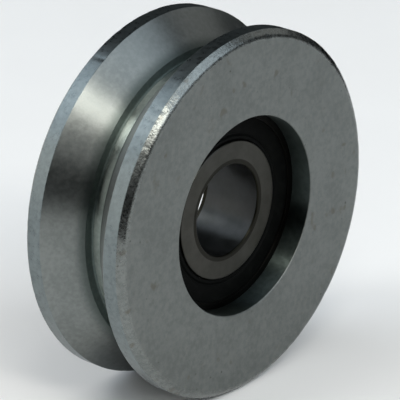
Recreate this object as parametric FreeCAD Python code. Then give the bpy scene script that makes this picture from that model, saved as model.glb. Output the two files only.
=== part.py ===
import FreeCAD, Part
import math
import os

# Gate wheel: a turned steel V-groove wheel that runs on a sealed deep-groove ball bearing.
# The wheel turns about +Y and stands upright with +Z up. The origin is the wheel's centre,
# and its front face looks along -Y. All sizes are in millimetres.

# Wheel body
WHEEL_R = 30.0              # running radius over the two lands
WHEEL_WIDTH = 20.0          # front face to back face
RIM_CHAMFER = 1.0           # 45 degrees, on both outer edges
GROOVE_OPENING = 13.0       # V groove between its two upper edges
GROOVE_HALF_ANGLE = 45.0    # degrees, from the mid-plane to each flank
SLOT_WIDTH = 3.0            # relief slot at the bottom of the V
SLOT_DEPTH = 1.5            # below the lower ends of the flanks
LIP_BORE_R = 16.25          # lip at the front that the bearing seats against
LIP_DEPTH = 3.8             # front face to the bearing seat
MOUTH_BREAK = 0.2           # broken edge at the mouth of the lip bore
POCKET_LEAD_IN = 0.8        # chamfer where the bearing is pressed in from the back

# Bearing, 15 x 35 x 11
BORE_R = 7.5
BEARING_R = 17.5
BEARING_WIDTH = 11.0
CORNER_CHAMFER = 0.6        # bore corners and outer corners
INNER_LAND_R = 11.35        # outside of the inner ring
INNER_EDGE_BREAK = 0.25
OUTER_LAND_R = 14.4         # inside of the outer ring, beside the race
PITCH_R = 12.5              # circle through the ball centres
BALL_R = 2.9765
BALL_COUNT = 8
RACE_GAP = 0.05             # between a ball and each race

# Seals, moulded rubber on a steel washer
SEAL_INSET = 0.3            # bearing face to the seal's outside face
SEAL_THICKNESS = 1.0
SEAL_MOUTH_R = 15.2         # opening that the seal snaps in through
SEAL_SEAT_R = 15.5          # groove in the outer ring that holds the bead
SEAL_LIP_GAP = 0.08         # between the lip and the inner ring
SEAL_LIP_BEVEL = 0.2
FLEX_GROOVE_R = 12.3        # middle of the groove that lets the lip flex
FLEX_GROOVE_WIDTH = 0.5
FLEX_GROOVE_DEPTH = 0.25
CORE_INNER_R = 12.8
CORE_OUTER_R = 14.9
CORE_THICKNESS = 0.4

# Ball cage, two pressed halves riveted together
CAGE_INNER_R = 11.65
CAGE_OUTER_R = 13.55
CAGE_THICKNESS = 0.6
POCKET_GAP = 0.08           # between a ball and its pocket
RIVET_R = 0.5
RIVET_HEAD_R = 0.85
RIVET_HEAD_TOP_R = 0.5
RIVET_HEAD_HEIGHT = 0.4

# Circlip for a 35 mm bore, behind the bearing
CLIP_THICKNESS = 1.5
CLIP_GROOVE_WIDTH = 1.6
CLIP_GROOVE_R = 18.5
CLIP_SEAT_GAP = 0.05        # between the clip and the bottom of its groove
CLIP_MEAN_WIDTH = 2.8       # radial width half way round
CLIP_TAPER = 0.6            # wider than the mean opposite the gap, narrower beside it
LUG_HOLE_R = 1.25
LUG_R = 2.45
LUG_CENTRE_R = 15.5
LUG_HALF_ANGLE = 14.0       # degrees from the middle of the gap to each lug's hole
CLIP_GAP_ANGLE = 90.0       # direction of the gap, from +X towards +Z

# Worked out from the sizes above
FRONT_Y = -WHEEL_WIDTH / 2
BEARING_BACK = LIP_DEPTH + BEARING_WIDTH
BEARING_MID_Y = FRONT_Y + LIP_DEPTH + BEARING_WIDTH / 2
CLIP_OUTER_R = CLIP_GROOVE_R - CLIP_SEAT_GAP

CENTRE = FreeCAD.Vector(0, 0, 0)
SPIN_AXIS = FreeCAD.Vector(0, 1, 0)


def polar_point(radius, degrees, y):
    """Point at a radius from the spin axis, at an angle from +X towards +Z."""
    angle = math.radians(degrees)
    return FreeCAD.Vector(radius * math.cos(angle), y, radius * math.sin(angle))


def turned(outline):
    """Solid of revolution from an outline of (radius, distance behind the wheel's front face)."""
    corners = [FreeCAD.Vector(radius, FRONT_Y + depth, 0) for radius, depth in outline]
    face = Part.Face(Part.makePolygon(corners + corners[:1]))
    return face.revolve(CENTRE, SPIN_AXIS, 360)


def rod(radius, y_start, y_end):
    """Solid cylinder on the spin axis between two Y positions."""
    return Part.makeCylinder(radius, y_end - y_start, FreeCAD.Vector(0, y_start, 0), SPIN_AXIS)


def tube(inner_r, outer_r, y_start, y_end):
    """Straight ring on the spin axis between two Y positions."""
    return rod(outer_r, y_start, y_end).cut(rod(inner_r, y_start, y_end))


def from_front(outline):
    """Moves an outline of (radius, distance behind the bearing's front face) into the wheel."""
    return [(radius, LIP_DEPTH + depth) for radius, depth in outline]


def from_back(outline):
    """The same outline mirrored, so that it starts from the bearing's back face."""
    return [(radius, BEARING_BACK - depth) for radius, depth in outline]


def wheel_body():
    """Wheel with its V groove, front lip, bearing pocket and circlip groove."""
    groove_start = (WHEEL_WIDTH - GROOVE_OPENING) / 2
    slot_start = (WHEEL_WIDTH - SLOT_WIDTH) / 2
    flank_depth = (slot_start - groove_start) / math.tan(math.radians(GROOVE_HALF_ANGLE))
    flank_end_r = WHEEL_R - flank_depth
    slot_r = flank_end_r - SLOT_DEPTH
    clip_groove_end = BEARING_BACK + CLIP_GROOVE_WIDTH
    rim = [
        (LIP_BORE_R + MOUTH_BREAK, 0),
        (WHEEL_R - RIM_CHAMFER, 0),
        (WHEEL_R, RIM_CHAMFER),
        (WHEEL_R, groove_start),
        (flank_end_r, slot_start),
        (slot_r, slot_start),
        (slot_r, WHEEL_WIDTH - slot_start),
        (flank_end_r, WHEEL_WIDTH - slot_start),
        (WHEEL_R, WHEEL_WIDTH - groove_start),
        (WHEEL_R, WHEEL_WIDTH - RIM_CHAMFER),
        (WHEEL_R - RIM_CHAMFER, WHEEL_WIDTH),
    ]
    hub = [
        (BEARING_R + POCKET_LEAD_IN, WHEEL_WIDTH),
        (BEARING_R, WHEEL_WIDTH - POCKET_LEAD_IN),
        (BEARING_R, clip_groove_end),
        (CLIP_GROOVE_R, clip_groove_end),
        (CLIP_GROOVE_R, BEARING_BACK),
        (BEARING_R, BEARING_BACK),
        (BEARING_R, LIP_DEPTH),
        (LIP_BORE_R, LIP_DEPTH),
        (LIP_BORE_R, MOUTH_BREAK),
    ]
    return turned(rim + hub)


def race():
    """Ring-shaped space that the balls run in, cut out of both bearing rings."""
    centre = FreeCAD.Vector(0, BEARING_MID_Y, 0)
    return Part.makeTorus(PITCH_R, BALL_R + RACE_GAP, centre, SPIN_AXIS)


def bearing_outer_ring():
    """Outer ring with a snap-in seal seat on each side."""
    seat_floor = SEAL_INSET + SEAL_THICKNESS
    half = [
        (OUTER_LAND_R, seat_floor),
        (SEAL_SEAT_R, seat_floor),
        (SEAL_SEAT_R, SEAL_INSET),
        (SEAL_MOUTH_R, SEAL_INSET),
        (SEAL_MOUTH_R, 0),
        (BEARING_R - CORNER_CHAMFER, 0),
        (BEARING_R, CORNER_CHAMFER),
    ]
    return turned(from_front(half) + from_back(half)[::-1]).cut(race())


def bearing_inner_ring():
    """Inner ring, bored for the axle."""
    half = [
        (BORE_R, CORNER_CHAMFER),
        (BORE_R + CORNER_CHAMFER, 0),
        (INNER_LAND_R - INNER_EDGE_BREAK, 0),
        (INNER_LAND_R, INNER_EDGE_BREAK),
    ]
    return turned(from_front(half) + from_back(half)[::-1]).cut(race())


def seal_outline():
    """Section of a rubber seal, measured from the bearing face that it closes."""
    lip_r = INNER_LAND_R + SEAL_LIP_GAP
    inside = SEAL_INSET + SEAL_THICKNESS
    flex_half = FLEX_GROOVE_WIDTH / 2
    core_floor = inside - CORE_THICKNESS
    return [
        (lip_r, SEAL_INSET + SEAL_LIP_BEVEL),
        (lip_r + SEAL_LIP_BEVEL, SEAL_INSET),
        (FLEX_GROOVE_R - flex_half, SEAL_INSET),
        (FLEX_GROOVE_R, SEAL_INSET + FLEX_GROOVE_DEPTH),
        (FLEX_GROOVE_R + flex_half, SEAL_INSET),
        (SEAL_SEAT_R, SEAL_INSET),
        (SEAL_SEAT_R, inside),
        (CORE_OUTER_R, inside),
        (CORE_OUTER_R, core_floor),
        (CORE_INNER_R, core_floor),
        (CORE_INNER_R, inside),
        (lip_r, inside),
    ]


def seal_core_outline():
    """Section of the steel washer let into the inside of a seal."""
    inside = SEAL_INSET + SEAL_THICKNESS
    return [
        (CORE_INNER_R, inside - CORE_THICKNESS),
        (CORE_OUTER_R, inside - CORE_THICKNESS),
        (CORE_OUTER_R, inside),
        (CORE_INNER_R, inside),
    ]


def ball_centres():
    """Centres of the balls, evenly spaced on the pitch circle."""
    step = 360 / BALL_COUNT
    return [polar_point(PITCH_R, step * index, BEARING_MID_Y) for index in range(BALL_COUNT)]


def rivet_centres():
    """Centres of the rivets, half way between the balls."""
    step = 360 / BALL_COUNT
    return [polar_point(PITCH_R, step * (index + 0.5), BEARING_MID_Y) for index in range(BALL_COUNT)]


def rivet(centre):
    """One rivet: a shank through both cage halves and a tapered head on each side."""
    shank_start = centre - SPIN_AXIS * CAGE_THICKNESS
    shank = Part.makeCylinder(RIVET_R, 2 * CAGE_THICKNESS, shank_start, SPIN_AXIS)
    heads = []
    for side in (-1, 1):
        outward = SPIN_AXIS * side
        base = centre + outward * CAGE_THICKNESS
        heads.append(Part.makeCone(RIVET_HEAD_R, RIVET_HEAD_TOP_R, RIVET_HEAD_HEIGHT, base, outward))
    return shank.fuse(heads).removeSplitter()


def sphere(radius, centre):
    """Whole sphere with its poles along the spin axis."""
    return Part.makeSphere(radius, centre, SPIN_AXIS)


def cage_half(side):
    """Pressed half of the cage: -1 is the front half, 1 is the back half."""
    cup_r = BALL_R + POCKET_GAP
    shell_r = cup_r + CAGE_THICKNESS
    outward = SPIN_AXIS * side
    band = tube(CAGE_INNER_R, CAGE_OUTER_R, BEARING_MID_Y - shell_r, BEARING_MID_Y + shell_r)
    web_ends = sorted((BEARING_MID_Y, BEARING_MID_Y + side * CAGE_THICKNESS))
    web = tube(CAGE_INNER_R, CAGE_OUTER_R, *web_ends)
    shells = [Part.makeSphere(shell_r, centre, outward, 0, 90).common(band) for centre in ball_centres()]
    cups = [sphere(cup_r, centre) for centre in ball_centres()]
    holes = [Part.makeCylinder(RIVET_R, CAGE_THICKNESS, centre, outward) for centre in rivet_centres()]
    return web.fuse(shells).cut(cups + holes).removeSplitter()


def circlip():
    """Internal circlip with a tapered section, a gap and two lugs with plier holes."""
    y_start = FRONT_Y + BEARING_BACK
    y_end = y_start + CLIP_THICKNESS
    disc = rod(CLIP_OUTER_R, y_start, y_end)
    hollow = Part.makeCylinder(
        CLIP_OUTER_R - CLIP_MEAN_WIDTH,
        CLIP_THICKNESS,
        polar_point(CLIP_TAPER, CLIP_GAP_ANGLE, y_start),
        SPIN_AXIS,
    )
    lug_angles = (CLIP_GAP_ANGLE - LUG_HALF_ANGLE, CLIP_GAP_ANGLE + LUG_HALF_ANGLE)
    lugs = []
    holes = []
    for degrees in lug_angles:
        centre = polar_point(LUG_CENTRE_R, degrees, y_start)
        lugs.append(Part.makeCylinder(LUG_R, CLIP_THICKNESS, centre, SPIN_AXIS))
        holes.append(Part.makeCylinder(LUG_HOLE_R, CLIP_THICKNESS, centre, SPIN_AXIS))
    far_r = 2 * CLIP_OUTER_R
    opening = Part.makePolygon([
        polar_point(0, 0, y_start),
        polar_point(far_r, lug_angles[0], y_start),
        polar_point(far_r, lug_angles[1], y_start),
        polar_point(0, 0, y_start),
    ])
    wedge = Part.Face(opening).extrude(SPIN_AXIS * CLIP_THICKNESS)
    ring = disc.cut([hollow, wedge])
    return ring.fuse(lugs).common(disc).cut(holes).removeSplitter()


def make_nodes():
    """Every piece of the wheel, by name."""
    nodes = {
        "wheel_body": wheel_body(),
        "bearing_outer_ring": bearing_outer_ring(),
        "bearing_inner_ring": bearing_inner_ring(),
        "cage_front_half": cage_half(-1),
        "cage_rear_half": cage_half(1),
        "cage_rivets": Part.makeCompound([rivet(centre) for centre in rivet_centres()]),
        "front_seal": turned(from_front(seal_outline())),
        "front_seal_core": turned(from_front(seal_core_outline())),
        "rear_seal": turned(from_back(seal_outline())),
        "rear_seal_core": turned(from_back(seal_core_outline())),
        "circlip": circlip(),
    }
    for number, centre in enumerate(ball_centres(), start=1):
        nodes[f"ball_{number}"] = sphere(BALL_R, centre)
    return nodes


os.makedirs("parts", exist_ok=True)
for name, shape in make_nodes().items():
    shape.exportStep(f"parts/{name}.step")
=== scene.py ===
import math
import random

import bmesh
import bpy
from mathutils import Matrix, Vector, noise


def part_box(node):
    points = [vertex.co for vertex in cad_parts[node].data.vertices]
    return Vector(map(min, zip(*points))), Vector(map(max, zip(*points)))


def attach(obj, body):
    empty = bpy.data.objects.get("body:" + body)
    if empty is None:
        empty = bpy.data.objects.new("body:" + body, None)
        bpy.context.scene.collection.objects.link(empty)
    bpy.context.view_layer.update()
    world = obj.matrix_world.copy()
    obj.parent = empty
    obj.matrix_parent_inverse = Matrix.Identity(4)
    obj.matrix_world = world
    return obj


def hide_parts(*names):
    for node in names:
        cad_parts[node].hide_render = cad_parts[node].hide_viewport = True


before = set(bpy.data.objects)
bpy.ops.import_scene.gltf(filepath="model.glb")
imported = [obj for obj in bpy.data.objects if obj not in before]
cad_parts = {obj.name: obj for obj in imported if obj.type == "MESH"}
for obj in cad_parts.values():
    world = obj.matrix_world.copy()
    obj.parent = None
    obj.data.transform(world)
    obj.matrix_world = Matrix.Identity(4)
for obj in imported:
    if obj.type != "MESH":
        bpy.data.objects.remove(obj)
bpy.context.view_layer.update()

# Gate wheel: the visible turned pieces and the circlip are made again here with finer outlines,
# rounded corners and worn edges. The pieces sealed inside the bearing stay CAD nodes with their own
# finishes. Shapes are in metres and material sizes in millimetres. The wheel turns about +Y and its
# front face looks along -Y.

MM = 0.001
SEGMENTS = 720                 # round the wheel
RING_SEGMENTS = 384            # round the bearing's rings and seals
FILLET_STEPS = 4
GUARD = 0.05 * MM              # from a corner to the extra ring that keeps a flat's shading flat
GUARDED_LENGTH = 4 * GUARD     # a shorter stretch has no such rings
EXTRA_ROWS = {"chamfer": 3}    # rings between a stretch's two guards, for its wear

# Wheel sections that the frame's boxes don't show
RIM_CHAMFER = 1.0 * MM
GROOVE_OPENING = 13.0 * MM
SLOT_WIDTH = 3.0 * MM
SLOT_DEPTH = 1.5 * MM
LIP_BORE_R = 16.25 * MM
POCKET_LEAD_IN = 0.8 * MM
CLIP_GROOVE_WIDTH = 1.6 * MM
CLIP_GROOVE_R = 18.5 * MM
MOUTH_EDGE = 0.2 * MM          # roundings of the wheel's edges
WORN_EDGE = 1.1 * MM
RIM_EDGE = 0.12 * MM
FINE_EDGE = 0.08 * MM
SLOT_EDGE = 0.35 * MM

# Bearing
BORE_R = 7.5 * MM
RING_CORNER = 0.6 * MM         # rounding outside the outer ring
RING_MOUTH = 0.25 * MM         # rounding of the bore's front mouth
RING_BACK_MOUTH = 0.12 * MM
RING_EDGE = 0.2 * MM           # rounding outside the inner ring
RING_DARK_WIDTH = 0.85 * MM    # painted shade: dark band round each mouth, on the ring's face
RING_DARK_DEPTH = 0.7 * MM     # the same band inside the bore, at the back
SEAL_MOUTH_EDGE = 0.12 * MM
LAND_EDGE = 0.05 * MM
SEAL_INSET = 0.3 * MM
SEAL_THICKNESS = 1.0 * MM
SEAL_MOUTH_R = 15.2 * MM
SEAL_LIP_GAP = 0.08 * MM
LIP_BEVEL_WIDTH = 0.25 * MM
LIP_BEVEL_DEPTH = 0.1 * MM
LIP_EDGE = 0.08 * MM
LIP_BEVEL_EDGE = 0.12 * MM
FLEX_GROOVE_R = 12.3 * MM
FLEX_GROOVE_HALF = 0.3 * MM
FLEX_GROOVE_DEPTH = 0.25 * MM
FLEX_GROOVE_EDGE = 0.1 * MM    # at each side of the groove
FLEX_GROOVE_FLOOR = 0.12 * MM  # rounding at its bottom
BEAD_EDGE = 0.05 * MM
OUTER_LAND_R = 14.4 * MM
RACE_GAP = 0.05 * MM           # between a ball and each race
RACE_STEPS = 40
CORE_INNER_R = 12.8 * MM
CORE_OUTER_R = 14.9 * MM
CORE_THICKNESS = 0.4 * MM

# Circlip
CLIP_MEAN_WIDTH = 2.8 * MM
CLIP_TAPER = 0.6 * MM
LUG_R = 2.45 * MM
LUG_HOLE_R = 1.25 * MM
LUG_CENTRE_R = 15.5 * MM
LUG_HALF_ANGLE = math.radians(14)
CLIP_EDGE = 0.12 * MM
LUG_STEPS = 48                 # points round a lug, round the rest of half the ring and round a hole
HALF_RING_STEPS = 120
HOLE_STEPS = 40

# Wear on the rim
WEAR_SEED = 7
DENT_WIDTH = (0.5, 0.9)        # least and most, in millimetres
DENT_DEPTH = (0.02, 0.07)
DENT_SLOPE = 0.6               # push along the axis for each unit of push towards it
SECTOR = 6                     # degrees of rim in each group of dents
WORN_DEPTH = 2.5 * MM          # below the rim, and no wear beyond it
CHAMFER_REACH = 1.3 * MM       # from the rim and from a face to the chamfer's inside edge
UNEVEN_DEPTH = 0.02 * MM
UNEVEN_SIZE = 1.6 * MM
UNEVEN_LEVEL = 0.6             # added to the noise, which runs from about -1 to 1

# Camera and stage
CAMERA_AZIMUTH = -50.0         # degrees, from straight in front of the wheel
CAMERA_ELEVATION = 22.8
CAMERA_DISTANCE = 0.5257
CAMERA_LENS = 302.0
SENSOR_WIDTH = 36
AIM_RIGHT = -7.28 * MM         # aim point from the centre of the front face
AIM_UP = 2.57 * MM
FLOOR_HALF = 3.0
LIGHT_DISTANCE = 1.0
WORLD_COLOUR = (0.85, 0.95, 1.0, 1)
WORLD_STRENGTH = 0.05
WARM = (1.0, 0.97, 0.90)
PLAIN = (1.0, 1.0, 0.98)
COOL = (0.80, 0.90, 1.0)
CARDS = {                      # each black card's azimuth in degrees, distance, width and height
    "card_near": (-32.0, 0.20, 0.13, 0.075),
    "card_right": (100.0, 0.20, 0.26, 0.055),
}
FADE_START = 0.22              # the backdrop fades in between two distances from the wheel's middle
FADE_END = 0.55
SWEEP = [                      # the backdrop's radius and its rise above the floor
    (FADE_START, 0.001),
    (FADE_END, 0.001),
    (1.6, 0.05),
    (2.2, 0.5),
    (2.5, 2.5),
]
SWEEP_SEGMENTS = 96

wheel_low, wheel_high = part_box("wheel_body")
_, inner_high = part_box("bearing_inner_ring")
outer_low, outer_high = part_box("bearing_outer_ring")
_, seal_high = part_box("front_seal")
clip_low, clip_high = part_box("circlip")
ball_low, ball_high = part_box("ball_1")     # it stands on the +X side of the spin axis
WHEEL_R = min(-wheel_low.x, wheel_high.z)
FRONT = wheel_low.y
BACK = wheel_high.y
BEARING_FRONT = outer_low.y
BEARING_BACK = outer_high.y
BEARING_R = outer_high.z
SEAL_SEAT_R = seal_high.z
BALL_R = (ball_high.z - ball_low.z) / 2
PITCH_R = (ball_low.x + ball_high.x) / 2


# ---------------------------------------------------------------- shapes

def fillet(before, corner, after, radius):
    """Points of the small arc that rounds one corner of an outline."""
    to_before = (before - corner).normalized()
    to_after = (after - corner).normalized()
    half_angle = to_before.angle(to_after) / 2
    if radius <= 0:
        return [corner]
    middle = (to_before + to_after).normalized()
    centre = corner + middle * (radius / math.sin(half_angle))
    tangent = radius / math.tan(half_angle)
    start = (corner + to_before * tangent - centre).normalized()
    end = (corner + to_after * tangent - centre).normalized()
    shares = [step / FILLET_STEPS for step in range(FILLET_STEPS + 1)]
    return [centre + start.slerp(end, share) * radius for share in shares]


def smooth_outline(corners):
    """Rounds a closed outline of (radius, y, rounding, surface) and adds the guard points.

    A surface names the stretch that starts at its corner. Returns (point, surface) pairs."""
    points = [Vector((radius, y)) for radius, y, _, _ in corners]
    count = len(corners)
    rounded = []
    for index in range(count):
        following = points[(index + 1) % count]
        rounded.append(fillet(points[index - 1], points[index], following, corners[index][2]))
    outline = []
    for index in range(count):
        surface = corners[index][3]
        outline += [(point, surface) for point in rounded[index]]
        start = rounded[index][-1]
        end = rounded[(index + 1) % count][0]
        along = end - start
        if along.length > GUARDED_LENGTH:
            step = along.normalized() * GUARD
            outline.append((start + step, surface))
            rows = EXTRA_ROWS.get(surface, 0)
            outline += [(start.lerp(end, (row + 1) / (rows + 1)), surface) for row in range(rows)]
            outline.append((end - step, surface))
    return outline


def turned(name, corners, segments, materials, body, replaced):
    """Mesh turned about the Y axis from an outline, with one material for each surface."""
    outline = smooth_outline(corners)
    surfaces = list(dict.fromkeys(surface for _, surface in outline))
    count = len(outline)
    vertices = []
    for segment in range(segments):
        angle = 2 * math.pi * segment / segments
        cosine = math.cos(angle)
        sine = math.sin(angle)
        vertices += [(point.x * cosine, point.y, point.x * sine) for point, _ in outline]
    faces = []
    indices = []
    for segment in range(segments):
        here = segment * count
        there = (segment + 1) % segments * count
        for index in range(count):
            following = (index + 1) % count
            faces.append((here + index, here + following, there + following, there + index))
            indices.append(surfaces.index(outline[index][1]))
    mesh = bpy.data.meshes.new(name)
    mesh.from_pydata(vertices, [], faces)
    mesh.polygons.foreach_set("material_index", indices)
    return add_piece(name, mesh, [materials[surface] for surface in surfaces], body, replaced)


def add_piece(name, mesh, materials, body, replaced):
    """Makes a mesh into a smooth-shaded piece that rides on a body in place of CAD nodes."""
    editable = bmesh.new()
    editable.from_mesh(mesh)
    bmesh.ops.recalc_face_normals(editable, faces=editable.faces)
    editable.to_mesh(mesh)
    editable.free()
    mesh.polygons.foreach_set("use_smooth", [True] * len(mesh.polygons))
    for material in materials:
        mesh.materials.append(material)
    piece = bpy.data.objects.new(name, mesh)
    bpy.context.scene.collection.objects.link(piece)
    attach(piece, body)
    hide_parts(*replaced)
    return piece


def wheel_corners():
    """Outline of the wheel body, from the mouth of the front recess round the rim and back."""
    middle = (FRONT + BACK) / 2
    groove = GROOVE_OPENING / 2
    slot = SLOT_WIDTH / 2
    flank_end_r = WHEEL_R - (groove - slot)
    slot_r = flank_end_r - SLOT_DEPTH
    clip_groove_end = BEARING_BACK + CLIP_GROOVE_WIDTH
    return [
        (LIP_BORE_R, FRONT, MOUTH_EDGE, "face"),
        (WHEEL_R - RIM_CHAMFER, FRONT, WORN_EDGE, "chamfer"),
        (WHEEL_R, FRONT + RIM_CHAMFER, RIM_EDGE, "land"),
        (WHEEL_R, middle - groove, RIM_EDGE, "flank"),
        (flank_end_r, middle - slot, FINE_EDGE, "slot_wall"),
        (slot_r, middle - slot, SLOT_EDGE, "slot"),
        (slot_r, middle + slot, SLOT_EDGE, "slot_wall"),
        (flank_end_r, middle + slot, FINE_EDGE, "flank"),
        (WHEEL_R, middle + groove, RIM_EDGE, "land"),
        (WHEEL_R, BACK - RIM_CHAMFER, RIM_EDGE, "chamfer"),
        (WHEEL_R - RIM_CHAMFER, BACK, WORN_EDGE, "face"),
        (BEARING_R + POCKET_LEAD_IN, BACK, FINE_EDGE, "bore"),
        (BEARING_R, BACK - POCKET_LEAD_IN, FINE_EDGE, "bore"),
        (BEARING_R, clip_groove_end, FINE_EDGE, "bore"),
        (CLIP_GROOVE_R, clip_groove_end, 0, "bore"),
        (CLIP_GROOVE_R, BEARING_BACK, 0, "bore"),
        (BEARING_R, BEARING_BACK, 0, "bore"),
        (BEARING_R, BEARING_FRONT, 0, "bore"),
        (LIP_BORE_R, BEARING_FRONT, FINE_EDGE, "recess"),
    ]


def race_corners(land_r, surface):
    """Ball race from front to back: a round groove in a ring's land, which clears the balls."""
    middle = (BEARING_FRONT + BEARING_BACK) / 2
    race_r = BALL_R + RACE_GAP
    side = math.copysign(1, land_r - PITCH_R)
    half_angle = math.acos(abs(land_r - PITCH_R) / race_r)
    corners = []
    for step in range(RACE_STEPS + 1):
        angle = half_angle * (2 * step / RACE_STEPS - 1)
        radius = PITCH_R + side * race_r * math.cos(angle)
        corners.append((radius, middle + race_r * math.sin(angle), 0, surface))
    return corners


def inner_ring_corners():
    """Outline of the bearing's inner ring."""
    land_r = inner_high.z
    return [
        (BORE_R, BEARING_FRONT, RING_MOUTH, "ring_chamfer"),
        (BORE_R + RING_DARK_WIDTH, BEARING_FRONT, 0, "ring_face"),
        (land_r, BEARING_FRONT, RING_EDGE, "ring_face"),
        *race_corners(land_r, "ring_face"),
        (land_r, BEARING_BACK, RING_EDGE, "ring_face"),
        (BORE_R + RING_DARK_WIDTH, BEARING_BACK, 0, "ring_chamfer"),
        (BORE_R, BEARING_BACK, RING_BACK_MOUTH, "ring_chamfer"),
        (BORE_R, BEARING_BACK - RING_DARK_DEPTH, 0, "ring_bore"),
    ]


def outer_ring_corners():
    """Outline of the bearing's outer ring."""
    seat = SEAL_INSET + SEAL_THICKNESS
    return [
        (SEAL_MOUTH_R, BEARING_FRONT, SEAL_MOUTH_EDGE, "outer_ring"),
        (BEARING_R, BEARING_FRONT, RING_CORNER, "outer_ring"),
        (BEARING_R, BEARING_BACK, RING_CORNER, "outer_ring"),
        (SEAL_MOUTH_R, BEARING_BACK, SEAL_MOUTH_EDGE, "outer_ring"),
        (SEAL_MOUTH_R, BEARING_BACK - SEAL_INSET, 0, "outer_ring"),
        (SEAL_SEAT_R, BEARING_BACK - SEAL_INSET, 0, "outer_ring"),
        (SEAL_SEAT_R, BEARING_BACK - seat, 0, "outer_ring"),
        (OUTER_LAND_R, BEARING_BACK - seat, LAND_EDGE, "outer_ring"),
        *reversed(race_corners(OUTER_LAND_R, "outer_ring")),
        (OUTER_LAND_R, BEARING_FRONT + seat, LAND_EDGE, "outer_ring"),
        (SEAL_SEAT_R, BEARING_FRONT + seat, 0, "outer_ring"),
        (SEAL_SEAT_R, BEARING_FRONT + SEAL_INSET, 0, "outer_ring"),
        (SEAL_MOUTH_R, BEARING_FRONT + SEAL_INSET, 0, "outer_ring"),
    ]


def seal_corners(face_y, inward):
    """Outline of a seal. inward is 1 for the front seal and -1 for the rear one."""
    lip_r = inner_high.z + SEAL_LIP_GAP
    outside = face_y + inward * SEAL_INSET
    inside = outside + inward * SEAL_THICKNESS
    core_floor = inside - inward * CORE_THICKNESS
    flex = outside + inward * FLEX_GROOVE_DEPTH
    return [
        (lip_r, outside + inward * LIP_BEVEL_DEPTH, LIP_EDGE, "rubber"),
        (lip_r + LIP_BEVEL_WIDTH, outside, LIP_BEVEL_EDGE, "rubber"),
        (FLEX_GROOVE_R - FLEX_GROOVE_HALF, outside, FLEX_GROOVE_EDGE, "rubber"),
        (FLEX_GROOVE_R, flex, FLEX_GROOVE_FLOOR, "rubber"),
        (FLEX_GROOVE_R + FLEX_GROOVE_HALF, outside, FLEX_GROOVE_EDGE, "rubber"),
        (SEAL_SEAT_R, outside, BEAD_EDGE, "rubber"),
        (SEAL_SEAT_R, inside, 0, "rubber"),
        (CORE_OUTER_R, inside, 0, "rubber"),
        (CORE_OUTER_R, core_floor, 0, "rubber"),
        (CORE_INNER_R, core_floor, 0, "rubber"),
        (CORE_INNER_R, inside, 0, "rubber"),
        (lip_r, inside, LIP_EDGE, "rubber"),
    ]


def circlip_plan():
    """Outer and inner edge of the circlip as (x, z) points, one closed loop."""
    lug_half_width = math.asin(LUG_R / LUG_CENTRE_R)
    first = LUG_HALF_ANGLE - lug_half_width
    ring_r = -clip_low.z
    hollow_r = ring_r - CLIP_MEAN_WIDTH

    def lug_edges(angle):
        """Nearest and farthest radius of the lug beside the gap, at an angle from the gap."""
        offset = min(max(angle - LUG_HALF_ANGLE, -lug_half_width), lug_half_width)
        half = math.sqrt(max(LUG_R ** 2 - (LUG_CENTRE_R * math.sin(offset)) ** 2, 0))
        middle = LUG_CENTRE_R * math.cos(offset)
        return middle - half, middle + half

    def hollow_edge(angle):
        """Inner edge of the tapered ring: a circle whose centre is moved towards the gap."""
        shift = CLIP_TAPER * math.sin(angle)
        return CLIP_TAPER * math.cos(angle) + math.sqrt(hollow_r ** 2 - shift ** 2)

    lug_span = [first + 2 * lug_half_width * step / LUG_STEPS for step in range(LUG_STEPS + 1)]
    lug_end = lug_span[-1]
    far_steps = range(1, HALF_RING_STEPS + 1)
    far_span = [lug_end + (math.pi - lug_end) * step / HALF_RING_STEPS for step in far_steps]
    outer = []
    inner = []
    for angle in lug_span + far_span:
        near, far = lug_edges(angle)
        hollow = hollow_edge(angle)
        outer.append((angle, far if angle < LUG_HALF_ANGLE else ring_r))
        inner.append((angle, min(hollow, near) if angle < lug_end else hollow))
    plan = [(radius * math.sin(angle), radius * math.cos(angle)) for angle, radius in outer]
    plan += [(-x, z) for x, z in reversed(plan[:-1])]
    hollow = [(radius * math.sin(angle), radius * math.cos(angle)) for angle, radius in inner]
    hollow = [(-x, z) for x, z in hollow[1:]] + [(x, z) for x, z in reversed(hollow[:-1])]
    return plan + hollow


def plier_hole(side):
    """Edge of the hole in one lug as (x, z) points. side is -1 or 1."""
    centre_x = side * LUG_CENTRE_R * math.sin(LUG_HALF_ANGLE)
    centre_z = LUG_CENTRE_R * math.cos(LUG_HALF_ANGLE)
    turns = [2 * math.pi * step / HOLE_STEPS for step in range(HOLE_STEPS)]
    edge = [(LUG_HOLE_R * math.cos(turn), LUG_HOLE_R * math.sin(turn)) for turn in turns]
    return [(centre_x + x, centre_z + z) for x, z in edge]


def circlip(material):
    """Stamped circlip with softly rounded edges and two plier holes."""
    curve = bpy.data.curves.new("circlip_outline", "CURVE")
    curve.dimensions = "2D"
    curve.fill_mode = "BOTH"
    curve.extrude = (clip_high.y - clip_low.y) / 2 - CLIP_EDGE
    curve.bevel_depth = CLIP_EDGE
    curve.bevel_resolution = 2
    curve.offset = -CLIP_EDGE
    for loop in (circlip_plan(), plier_hole(-1), plier_hole(1)):
        spline = curve.splines.new("POLY")
        spline.points.add(len(loop) - 1)
        for point, (x, z) in zip(spline.points, loop):
            point.co = (x, z, 0, 1)
        spline.use_cyclic_u = True
    holder = bpy.data.objects.new("circlip_curve", curve)
    bpy.context.scene.collection.objects.link(holder)
    bpy.context.view_layer.update()
    depsgraph = bpy.context.evaluated_depsgraph_get()
    mesh = bpy.data.meshes.new_from_object(holder.evaluated_get(depsgraph))
    bpy.data.objects.remove(holder)
    middle = (clip_low.y + clip_high.y) / 2
    mesh.transform(Matrix.Translation((0, middle, 0)) @ Matrix.Rotation(math.pi / 2, 4, "X"))
    mesh.materials.clear()
    return add_piece("circlip_stamped", mesh, [material], "wheel", ["circlip"])


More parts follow.
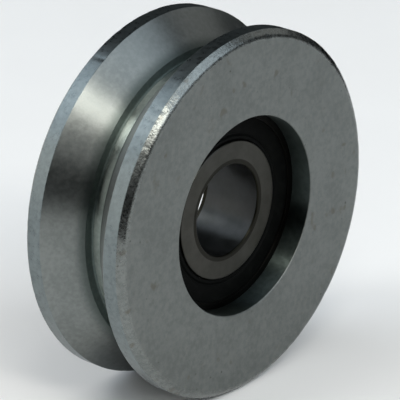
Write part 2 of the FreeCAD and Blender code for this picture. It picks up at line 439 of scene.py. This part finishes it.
# ---------------------------------------------------------------- materials

def make_material(name):
    """New material with an empty node tree, and its tree."""
    material = bpy.data.materials.new(name)
    material.use_nodes = True
    tree = material.node_tree
    tree.nodes.clear()
    return material, tree


def add(tree, kind, values=None, **settings):
    """Adds a node. values gives each input, by name or number, a value or a socket to link."""
    node = tree.nodes.new(kind)
    for key, value in settings.items():
        setattr(node, key, value)
    for key, value in (values or {}).items():
        socket = node.inputs[key]
        if isinstance(value, bpy.types.NodeSocket):
            tree.links.new(value, socket)
        else:
            socket.default_value = value
    return node


def maths(tree, operation, *values):
    """Output of a maths node."""
    node = add(tree, "ShaderNodeMath", dict(enumerate(values)), operation=operation)
    return node.outputs[0]


def ramp(tree, source, low, high, low_value=0.0, high_value=1.0):
    """Smooth change from one value to another while the source goes from low to high."""
    values = {"Value": source, "From Min": low, "From Max": high, "To Min": low_value, "To Max": high_value}
    return add(tree, "ShaderNodeMapRange", values, interpolation_type="SMOOTHSTEP").outputs["Result"]


def blend(tree, factor, first, second):
    """Mix of two colours."""
    node = tree.nodes.new("ShaderNodeMix")
    node.data_type = "RGBA"
    for socket, value in zip((node.inputs[0], node.inputs[6], node.inputs[7]), (factor, first, second)):
        if isinstance(value, bpy.types.NodeSocket):
            tree.links.new(value, socket)
        else:
            socket.default_value = value
    return node.outputs[2]


def position(tree):
    """Object coordinates in millimetres: the vector, x, y, z and the distance from the spin axis."""
    place = add(tree, "ShaderNodeTexCoord").outputs["Object"]
    to_mm = {0: place, "Scale": 1 / MM}
    scaled = add(tree, "ShaderNodeVectorMath", to_mm, operation="SCALE").outputs[0]
    parts = add(tree, "ShaderNodeSeparateXYZ", {0: scaled})
    x, y, z = parts.outputs
    squares = maths(tree, "ADD", maths(tree, "MULTIPLY", x, x), maths(tree, "MULTIPLY", z, z))
    return scaled, x, y, z, maths(tree, "SQRT", squares)


def cloud(tree, place, size, detail=3.0, roughness=0.55):
    """Noise whose blotches are about size millimetres across."""
    values = {"Vector": place, "Scale": 1 / size, "Detail": detail, "Roughness": roughness}
    return add(tree, "ShaderNodeTexNoise", values).outputs["Fac"]


def tool_marks(tree, place, spacing, wander=0.6, detail=3.0):
    """Noise drawn out into rings round the spin axis, as a turning tool leaves them."""
    _, x, y, z, radius = place
    across = add(tree, "ShaderNodeCombineXYZ", {
        0: maths(tree, "MULTIPLY", maths(tree, "DIVIDE", x, radius), wander),
        1: maths(tree, "DIVIDE", y, spacing),
        2: maths(tree, "MULTIPLY", maths(tree, "DIVIDE", z, radius), wander),
    }).outputs[0]
    along = maths(tree, "DIVIDE", radius, spacing)
    values = {"Vector": across, "W": along, "Scale": 1.0, "Detail": detail}
    return add(tree, "ShaderNodeTexNoise", values, noise_dimensions="4D").outputs["Fac"]


def bump(tree, height, depth, normal=None, strength=1.0):
    """Bump of a height field from 0 to 1, depth millimetres high."""
    values = {"Height": height, "Strength": strength, "Distance": depth * MM}
    if normal is not None:
        values["Normal"] = normal
    return add(tree, "ShaderNodeBump", values).outputs["Normal"]


def finish_shader(tree, values):
    """Principled shader with these inputs, on the material's surface."""
    shader = add(tree, "ShaderNodeBsdfPrincipled", values)
    add(tree, "ShaderNodeOutputMaterial", {"Surface": shader.outputs[0]})


def round_tangent(tree):
    """Tangent that runs round the spin axis."""
    return add(tree, "ShaderNodeTangent", direction_type="RADIAL", axis="Y").outputs[0]


ZINC_DARK = (0.165, 0.178, 0.172)
ZINC_LIGHT = (0.225, 0.240, 0.232)
STAIN = (0.13, 0.115, 0.09)
SPECK = (0.06, 0.055, 0.05)
# Painted shade: the dark green that the flanks' feet and the recess floor are blended towards
PAINTED_SHADE = (0.045, 0.060, 0.055)
# Painted reflection: the lands' bluish tint stands for the cool light they reflect
BLUE_TINT = (0.93, 1.0, 1.05)
# Tints of painted light: green for the painted shade on the slot's walls and in the recess, cream for the
# slot floor's painted highlight
GREEN_TINT = (0.86, 1.0, 0.97)
SLOT_TINT = (0.94, 1.0, 0.95)
# Painted shade: very dark tones for the bearing steel, standing for the dark surroundings its ground faces
# reflect
RING_DARK = (0.056, 0.056, 0.048)
RING_LIGHT = (0.080, 0.078, 0.070)
# Tint of the painted shade round the bore's mouths
RING_BROWN_TINT = (1.0, 0.98, 0.82)
# Tint of the painted reflection inside the bore
RING_BLUE_TINT = (0.95, 1.0, 1.12)
ALONG_Y = 2                    # outputs of position
ALONG_Z = 3
ALONG_RADIUS = 4
SMOOTH_SHARE = 0.3             # pitting left where the plating is smooth
PITTED_HEIGHTS = (-6, 8)       # millimetres above the axis, from nearly smooth to pitted
# Painted shade at the foot of each flank, by the slot, and on the recess floor
SHADE_REACH = 1.6              # millimetres of each flank, up from the slot, under painted shade
SHADE_MOST = 0.75
TURNED_ROTATION = 0.25         # of anisotropic highlights, across the turning marks


def toned(colour, tone, tint=(1, 1, 1)):
    """A colour made darker or lighter and tinted, with an alpha of 1."""
    return [channel * tone * share for channel, share in zip(colour, tint)] + [1]


def stain(tree, colour, here, tone):
    """Colour with brown patches and spots and small dark specks over it."""
    patches = cloud(tree, here, 5.0, 5.0, 0.65)
    colour = blend(tree, ramp(tree, patches, 0.60, 0.76, 0.0, 0.6), colour, toned(STAIN, tone))
    spots = cloud(tree, here, 2.6, 1.0)
    colour = blend(tree, ramp(tree, spots, 0.68, 0.78, 0.0, 0.5), colour, toned(STAIN, tone))
    specks = cloud(tree, here, 0.9, 1.0)
    return blend(tree, ramp(tree, specks, 0.74, 0.80, 0.0, 0.6), colour, toned(SPECK, tone))


def zinc(name, tone, rough, anisotropic, marks, grain,
         tint=(1, 1, 1), stained=False, shade_ramp=None, pitted=None):
    """Zinc-plated turned steel. marks and grain are each a size and a depth in millimetres.

    The shade ramp paints shade: which output of position it follows, where it starts, where it is darkest,
    and how dark.
    pitted is two heights: the plating is pitted above the second and nearly smooth below the first."""
    material, tree = make_material(name)
    place = position(tree)
    here = place[0]
    broad = cloud(tree, here, 7.0, 4.0)
    fine = cloud(tree, here, 0.8, 4.0, 0.6)
    shade = maths(tree, "ADD", maths(tree, "MULTIPLY", broad, 0.35), maths(tree, "MULTIPLY", fine, 0.65))
    dark = toned(ZINC_DARK, tone, tint)
    light = toned(ZINC_LIGHT, tone, tint)
    colour = blend(tree, ramp(tree, shade, 0.34, 0.66), dark, light)
    if stained:
        colour = stain(tree, colour, here, tone)
    # Painted shade: the colour darkens along one output of position
    if shade_ramp:
        along, bare, darkest, most = shade_ramp
        shade_share = ramp(tree, place[along], bare, darkest, 0.0, most)
        colour = blend(tree, shade_share, colour, toned(PAINTED_SHADE, tone))
    roughened = 1.0
    if pitted:
        roughened = ramp(tree, place[ALONG_Z], pitted[0], pitted[1], SMOOTH_SHARE, 1.0)
        pits = ramp(tree, cloud(tree, here, 0.30, 2.0, 0.7), 0.34, 0.48, 0.45, 0.0)
        colour = blend(tree, maths(tree, "MULTIPLY", pits, roughened), colour, toned(SPECK, tone))
    normal = bump(tree, tool_marks(tree, place, marks[0]), marks[1])
    normal = bump(tree, cloud(tree, here, grain[0], 2.0), grain[1], normal, roughened)
    finish_shader(tree, {
        "Base Color": colour,
        "Metallic": 1.0,
        "Roughness": ramp(tree, fine, 0.25, 0.75, rough - 0.04, rough + 0.04),
        "Anisotropic": anisotropic,
        "Anisotropic Rotation": TURNED_ROTATION,
        "Tangent": round_tangent(tree),
        "Normal": normal,
    })
    return material


def bearing_steel(name, tone, rough, anisotropic, tint=(1, 1, 1)):
    """Ground bearing steel, coloured very dark as painted shade for the dark surroundings its smooth faces
    reflect, with fine rings from the grinding wheel.
    """
    material, tree = make_material(name)
    place = position(tree)
    marks = tool_marks(tree, place, 0.12, 0.8, 2.0)
    smears = cloud(tree, place[0], 3.0, 4.0, 0.6)
    dark = toned(RING_DARK, tone, tint)
    light = toned(RING_LIGHT, tone, tint)
    finish_shader(tree, {
        "Base Color": blend(tree, ramp(tree, smears, 0.3, 0.7), dark, light),
        "Metallic": 1.0,
        "Roughness": ramp(tree, smears, 0.2, 0.8, rough - 0.05, rough + 0.07),
        "Anisotropic": anisotropic,
        "Anisotropic Rotation": TURNED_ROTATION,
        "Tangent": round_tangent(tree),
        "Normal": bump(tree, marks, 0.002),
    })
    return material


def rubber(name):
    """Black moulded rubber, faintly dusty."""
    material, tree = make_material(name)
    place = position(tree)
    dust = cloud(tree, place[0], 1.6, 5.0, 0.65)
    pores = cloud(tree, place[0], 0.18, 2.0)
    bare = (0.0012, 0.0015, 0.0014, 1)
    dusty = (0.0042, 0.0048, 0.0042, 1)
    finish_shader(tree, {
        "Base Color": blend(tree, ramp(tree, dust, 0.45, 0.8), bare, dusty),
        "Roughness": ramp(tree, dust, 0.3, 0.7, 0.55, 0.75),
        "Specular IOR Level": 0.05,
        "Normal": bump(tree, pores, 0.012),
    })
    return material


def plain_steel(name, dark, light, rough, grain_size, grain_depth):
    """Steel of a small piece: polished ball, pressed cage, seal core or phosphated circlip."""
    material, tree = make_material(name)
    here = position(tree)[0]
    tone = cloud(tree, here, grain_size * 6, 4.0)
    grain = cloud(tree, here, grain_size, 3.0)
    finish_shader(tree, {
        "Base Color": blend(tree, ramp(tree, tone, 0.3, 0.7), dark, light),
        "Metallic": 1.0,
        "Roughness": ramp(tree, grain, 0.3, 0.7, rough * 0.85, rough * 1.15),
        "Normal": bump(tree, grain, grain_depth),
    })
    return material


# ---------------------------------------------------------------- wear

def scatter_dents(draw):
    """Dents along the rim's edges, as (angle in degrees, centre, width, depth)."""
    middle = (FRONT + BACK) / 2
    edges = [                  # radius, y and how many
        (WHEEL_R - RIM_CHAMFER, FRONT, 30),
        (WHEEL_R, FRONT + RIM_CHAMFER, 16),
        (WHEEL_R, middle - GROOVE_OPENING / 2, 10),
        (WHEEL_R, middle + GROOVE_OPENING / 2, 10),
        (WHEEL_R, BACK - RIM_CHAMFER, 16),
        (WHEEL_R - RIM_CHAMFER, BACK, 30),
    ]
    dents = []
    for radius, y, count in edges:
        for _ in range(count):
            angle = draw.uniform(0, 2 * math.pi)
            centre = Vector((radius * math.cos(angle), y, radius * math.sin(angle)))
            width = draw.uniform(*DENT_WIDTH) * MM
            depth = draw.uniform(*DENT_DEPTH) * MM
            dents.append((math.degrees(angle), centre, width, depth))
    return dents


def dent_depth(place, dents):
    """How far the deepest of these dents pushes a point in."""
    push = 0.0
    for _, centre, width, depth in dents:
        distance = (place - centre).length / width
        if distance < 1:
            push = max(push, depth * (1 - distance ** 2) ** 2)
    return push


def nick_edges(piece):
    """Small dents along the rim's edges, and a slightly uneven rim chamfer."""
    middle = (FRONT + BACK) / 2
    sectors = 360 // SECTOR
    groups = [[] for _ in range(sectors)]
    for dent in scatter_dents(random.Random(WEAR_SEED)):
        groups[int(dent[0] // SECTOR) % sectors].append(dent)
    for vertex in piece.data.vertices:
        place = vertex.co
        radius = math.hypot(place.x, place.z)
        if radius < WHEEL_R - WORN_DEPTH:
            continue
        sector = int(math.degrees(math.atan2(place.z, place.x)) % 360 // SECTOR)
        near = [dent for turn in (-1, 0, 1) for dent in groups[(sector + turn) % sectors]]
        push = dent_depth(place, near)
        near_face = abs(place.y - middle) > (BACK - FRONT) / 2 - CHAMFER_REACH
        if near_face and radius > WHEEL_R - CHAMFER_REACH:
            push += UNEVEN_DEPTH * (noise.noise(place / UNEVEN_SIZE) + UNEVEN_LEVEL)
        if push > 0:
            slope = DENT_SLOPE * math.copysign(1, middle - place.y)
            inward = Vector((-place.x / radius, slope, -place.z / radius))
            vertex.co = place + inward * push


# ---------------------------------------------------------------- stage

def camera_axes():
    """Right, up and backward directions of the camera."""
    back = direction(CAMERA_AZIMUTH, CAMERA_ELEVATION)
    right = Vector((0, 0, 1)).cross(back).normalized()
    return right, back.cross(right), back


def make_camera():
    """Long-lens camera that looks down on the front face and the rim."""
    right, up, back = camera_axes()
    aim = Vector((0, FRONT, 0)) + right * AIM_RIGHT + up * AIM_UP
    lens = bpy.data.cameras.new("camera")
    lens.lens = CAMERA_LENS
    lens.sensor_width = SENSOR_WIDTH
    lens.clip_start = 0.01
    lens.clip_end = 20
    camera = bpy.data.objects.new("camera", lens)
    turn = Matrix((right, up, back)).transposed().to_4x4()
    camera.matrix_world = Matrix.Translation(aim + back * CAMERA_DISTANCE) @ turn
    bpy.context.scene.collection.objects.link(camera)
    bpy.context.scene.camera = camera


def direction(azimuth, elevation):
    """Unit vector from angles in degrees. Azimuth is 0 in front of the wheel and grows to the right."""
    turn = math.radians(azimuth)
    rise = math.radians(elevation)
    return Vector((math.sin(turn) * math.cos(rise), -math.cos(turn) * math.cos(rise), math.sin(rise)))


def place_light(name, lamp, away, across):
    """Puts a light in a direction from the wheel, facing it, with its width along across."""
    side = (across - away * across.dot(away)).normalized()
    holder = bpy.data.objects.new(name, lamp)
    turn = Matrix((side, away.cross(side), away)).transposed().to_4x4()
    holder.matrix_world = Matrix.Translation(away * LIGHT_DISTANCE) @ turn
    holder.visible_camera = False
    bpy.context.scene.collection.objects.link(holder)


def softbox(name, azimuth, elevation, width, radiance, colour):
    """Round studio light."""
    lamp = bpy.data.lights.new(name, "AREA")
    lamp.shape = "DISK"
    lamp.size = width
    lamp.energy = radiance * math.pi * math.pi * (width / 2) ** 2
    lamp.color = colour
    place_light(name, lamp, direction(azimuth, elevation), Vector((1, 0, 0)))


def strip_light(name, azimuth, elevation, width, length, radiance, colour):
    """Long narrow studio light, which leans over the wheel from the front."""
    lamp = bpy.data.lights.new(name, "AREA")
    lamp.shape = "RECTANGLE"
    lamp.size = width
    lamp.size_y = length
    lamp.energy = radiance * math.pi * width * length
    lamp.color = colour
    place_light(name, lamp, direction(azimuth, elevation), Vector((1, 0, 1)))


def make_floor():
    """Pale floor that the wheel stands on."""
    material, tree = make_material("floor_paint")
    place = position(tree)
    speckle = cloud(tree, place[0], 30.0, 3.0)
    finish_shader(tree, {
        "Base Color": blend(tree, speckle, (0.83, 0.83, 0.83, 1), (0.86, 0.86, 0.86, 1)),
        "Roughness": 0.9,
        "Specular IOR Level": 0.1,
    })
    corners = [(-1, -1), (1, -1), (1, 1), (-1, 1)]
    vertices = [(x * FLOOR_HALF, y * FLOOR_HALF, wheel_low.z) for x, y in corners]
    mesh = bpy.data.meshes.new("floor")
    mesh.from_pydata(vertices, [], [(0, 1, 2, 3)])
    mesh.materials.append(material)
    floor = bpy.data.objects.new("floor", mesh)
    bpy.context.scene.collection.objects.link(floor)


def make_cards():
    """Low black cards beside the wheel, which keep the reflections in its edges dark."""
    material, tree = make_material("card_black")
    fibres = cloud(tree, position(tree)[0], 2.0, 3.0)
    finish_shader(tree, {
        "Base Color": blend(tree, fibres, (0.005, 0.005, 0.005, 1), (0.009, 0.009, 0.009, 1)),
        "Roughness": 0.9,
        "Specular IOR Level": 0.1,
    })
    for name, (azimuth, distance, width, height) in CARDS.items():
        middle = direction(azimuth, 0) * distance
        along = Vector((0, 0, 1)).cross(middle).normalized() * width / 2
        left = middle - along
        right = middle + along
        low = Vector((0, 0, wheel_low.z))
        high = Vector((0, 0, wheel_low.z + height))
        mesh = bpy.data.meshes.new(name)
        corners = [left + low, right + low, right + high, left + high]
        mesh.from_pydata(corners, [], [(0, 1, 2, 3)])
        mesh.materials.append(material)
        card = bpy.data.objects.new(name, mesh)
        card.visible_camera = False
        card.visible_diffuse = False
        card.visible_shadow = False
        bpy.context.scene.collection.objects.link(card)


def make_backdrop():
    """Pale glowing sweep round the studio, which only the camera sees. It fades in over the floor."""
    material, tree = make_material("backdrop_paper")
    place = add(tree, "ShaderNodeTexCoord").outputs["Object"]
    parts = add(tree, "ShaderNodeSeparateXYZ", {0: place}).outputs
    flat = add(tree, "ShaderNodeCombineXYZ", {0: parts[0], 1: parts[1]}).outputs[0]
    distance = add(tree, "ShaderNodeVectorMath", {0: flat}, operation="LENGTH").outputs["Value"]
    shown = ramp(tree, distance, FADE_START, FADE_END)
    cloudy = add(tree, "ShaderNodeTexNoise", {"Vector": place, "Scale": 1.1}).outputs["Fac"]
    paper = blend(tree, cloudy, (0.86, 0.87, 0.87, 1), (0.90, 0.90, 0.90, 1))
    glow = add(tree, "ShaderNodeEmission", {"Color": paper}).outputs[0]
    clear = add(tree, "ShaderNodeBsdfTransparent").outputs[0]
    both = add(tree, "ShaderNodeMixShader", {0: shown, 1: clear, 2: glow}).outputs[0]
    add(tree, "ShaderNodeOutputMaterial", {"Surface": both})
    vertices = []
    faces = []
    for step in range(SWEEP_SEGMENTS):
        angle = 2 * math.pi * step / SWEEP_SEGMENTS
        vertices += [(r * math.cos(angle), r * math.sin(angle), wheel_low.z + rise) for r, rise in SWEEP]
        for ring in range(len(SWEEP) - 1):
            here = step * len(SWEEP) + ring
            there = (step + 1) % SWEEP_SEGMENTS * len(SWEEP) + ring
            faces.append((here, here + 1, there + 1, there))
    mesh = bpy.data.meshes.new("backdrop")
    mesh.from_pydata(vertices, [], faces)
    mesh.polygons.foreach_set("use_smooth", [True] * len(mesh.polygons))
    mesh.materials.append(material)
    backdrop = bpy.data.objects.new("backdrop", mesh)
    backdrop.visible_diffuse = False
    backdrop.visible_glossy = False
    backdrop.visible_transmission = False
    backdrop.visible_shadow = False
    bpy.context.scene.collection.objects.link(backdrop)


def make_light():
    """Warm strip light above the camera, and large dim softboxes round the rest of a dark studio."""
    world = bpy.data.worlds.new("studio")
    world.use_nodes = True
    background = world.node_tree.nodes["Background"]
    background.inputs["Color"].default_value = WORLD_COLOUR
    background.inputs["Strength"].default_value = WORLD_STRENGTH
    bpy.context.scene.world = world
    strip_light("key", azimuth=-25, elevation=45, width=0.20, length=0.85, radiance=9.0, colour=WARM)
    softbox("top", azimuth=0, elevation=90, width=0.6, radiance=2.0, colour=PLAIN)
    softbox("back_top", azimuth=-120, elevation=55, width=0.4, radiance=6.0, colour=PLAIN)
    softbox("back", azimuth=-165, elevation=35, width=0.8, radiance=2.0, colour=COOL)
    softbox("left", azimuth=-130, elevation=15, width=0.7, radiance=1.5, colour=PLAIN)
    softbox("front_left", azimuth=-50, elevation=35, width=0.5, radiance=1.5, colour=PLAIN)
    softbox("front", azimuth=20, elevation=40, width=0.9, radiance=2.0, colour=COOL)
    softbox("right", azimuth=80, elevation=30, width=0.6, radiance=0.5, colour=PLAIN)
    bpy.context.scene.view_settings.view_transform = "Standard"


# ---------------------------------------------------------------- assembly

def zinc_finishes():
    """Finishes of the wheel body's surfaces."""
    foot_r = (WHEEL_R - (GROOVE_OPENING - SLOT_WIDTH) / 2) / MM
    # Painted shade: the flanks darken towards the slot, and the recess wall towards the bearing
    flank_foot_shade = (ALONG_RADIUS, foot_r + SHADE_REACH, foot_r, SHADE_MOST)
    recess_floor_shade = (ALONG_Y, FRONT / MM, BEARING_FRONT / MM, SHADE_MOST)
    return {
        "face": zinc(
            "zinc_face", tone=0.90, rough=0.50, anisotropic=0.0,
            marks=(0.35, 0.004), grain=(0.25, 0.008), stained=True,
        ),
        "chamfer": zinc(
            "zinc_chamfer", tone=0.90, rough=0.27, anisotropic=0.6,
            marks=(0.15, 0.006), grain=(0.34, 0.030), stained=True, pitted=PITTED_HEIGHTS,
        ),
        # Painted reflection: the lands are tinted blue for the cool light they reflect
        "land": zinc(
            "zinc_land", tone=0.90, rough=0.30, anisotropic=0.3,
            marks=(0.22, 0.002), grain=(0.40, 0.002), tint=BLUE_TINT,
        ),
        "flank": zinc(
            "zinc_flank", tone=1.00, rough=0.38, anisotropic=0.8,
            marks=(0.30, 0.004), grain=(0.25, 0.006), shade_ramp=flank_foot_shade,
        ),
        # Painted highlight: the slot floor is a lighter, creamier copy of the zinc, which brightens its
        # glint
        "slot": zinc(
            "zinc_slot", tone=1.40, rough=0.36, anisotropic=1.0,
            marks=(0.20, 0.008), grain=(0.25, 0.004), tint=SLOT_TINT,
        ),
        # Painted shade: the slot's walls are a darker, greener copy of the zinc
        "slot_wall": zinc(
            "zinc_slot_wall", tone=0.70, rough=0.46, anisotropic=0.9,
            marks=(0.20, 0.006), grain=(0.25, 0.004), tint=GREEN_TINT,
        ),
        "bore": zinc(
            "zinc_bore", tone=0.6, rough=0.50, anisotropic=1.0,
            marks=(0.25, 0.006), grain=(0.25, 0.006),
        ),
        # Painted shade: the recess wall is a darker, greener copy of the zinc
        "recess": zinc(
            "zinc_recess", tone=0.50, rough=0.36, anisotropic=1.0,
            marks=(0.25, 0.004), grain=(0.25, 0.004), tint=GREEN_TINT, shade_ramp=recess_floor_shade,
        ),
    }


def bearing_finishes():
    """Finishes of the bearing and the circlip."""
    return {
        "ring_face": bearing_steel("ring_face", tone=0.70, rough=0.34, anisotropic=0.8),
        # Painted shade: a dark brown band round each mouth of the bore
        "ring_chamfer": bearing_steel(
            "ring_chamfer", tone=0.20, rough=0.34, anisotropic=0.7, tint=RING_BROWN_TINT,
        ),
        # Painted reflection: the bore is a lighter, bluish copy of the ring steel, for the cool band it
        # reflects
        "ring_bore": bearing_steel(
            "ring_bore", tone=0.80, rough=0.37, anisotropic=0.7, tint=RING_BLUE_TINT,
        ),
        # Painted shade: the outer ring is nearly black, like the recess's deep corner
        "outer_ring": bearing_steel("outer_ring", tone=0.08, rough=0.45, anisotropic=0.7),
        "rubber": rubber("seal_rubber"),
        "ball": plain_steel(
            "ball_polish", dark=(0.60, 0.60, 0.61, 1), light=(0.70, 0.70, 0.71, 1),
            rough=0.08, grain_size=0.3, grain_depth=0.0005,
        ),
        "cage": plain_steel(
            "cage_sheet", dark=(0.38, 0.37, 0.35, 1), light=(0.48, 0.47, 0.45, 1),
            rough=0.35, grain_size=0.25, grain_depth=0.004,
        ),
        "core": plain_steel(
            "core_sheet", dark=(0.32, 0.33, 0.34, 1), light=(0.40, 0.41, 0.42, 1),
            rough=0.42, grain_size=0.25, grain_depth=0.004,
        ),
        "clip": plain_steel(
            "clip_phosphate", dark=(0.035, 0.036, 0.036, 1), light=(0.062, 0.063, 0.062, 1),
            rough=0.40, grain_size=0.12, grain_depth=0.006,
        ),
    }


def dress_cad_nodes(materials):
    """Gives the pieces sealed inside the bearing their finishes, by the start of each node's name."""
    finishes = {"ball_": "ball", "cage_": "cage", "front_seal_core": "core", "rear_seal_core": "core"}
    for name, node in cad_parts.items():
        for start, finish in finishes.items():
            if name.startswith(start):
                node.data.materials.clear()
                node.data.materials.append(materials[finish])


def make_pieces(materials):
    """The visible pieces."""
    wheel = turned("wheel_turned", wheel_corners(), SEGMENTS, materials, "wheel",
                   ["wheel_body"])
    nick_edges(wheel)
    turned("inner_ring_ground", inner_ring_corners(), RING_SEGMENTS, materials, "hub",
           ["bearing_inner_ring"])
    turned("outer_ring_ground", outer_ring_corners(), RING_SEGMENTS, materials, "wheel",
           ["bearing_outer_ring"])
    turned("front_seal_moulded", seal_corners(BEARING_FRONT, 1), RING_SEGMENTS, materials, "wheel",
           ["front_seal"])
    turned("rear_seal_moulded", seal_corners(BEARING_BACK, -1), RING_SEGMENTS, materials, "wheel",
           ["rear_seal"])
    circlip(materials["clip"])


make_camera()
make_floor()
make_cards()
make_backdrop()
make_light()
all_finishes = {**zinc_finishes(), **bearing_finishes()}
dress_cad_nodes(all_finishes)
make_pieces(all_finishes)
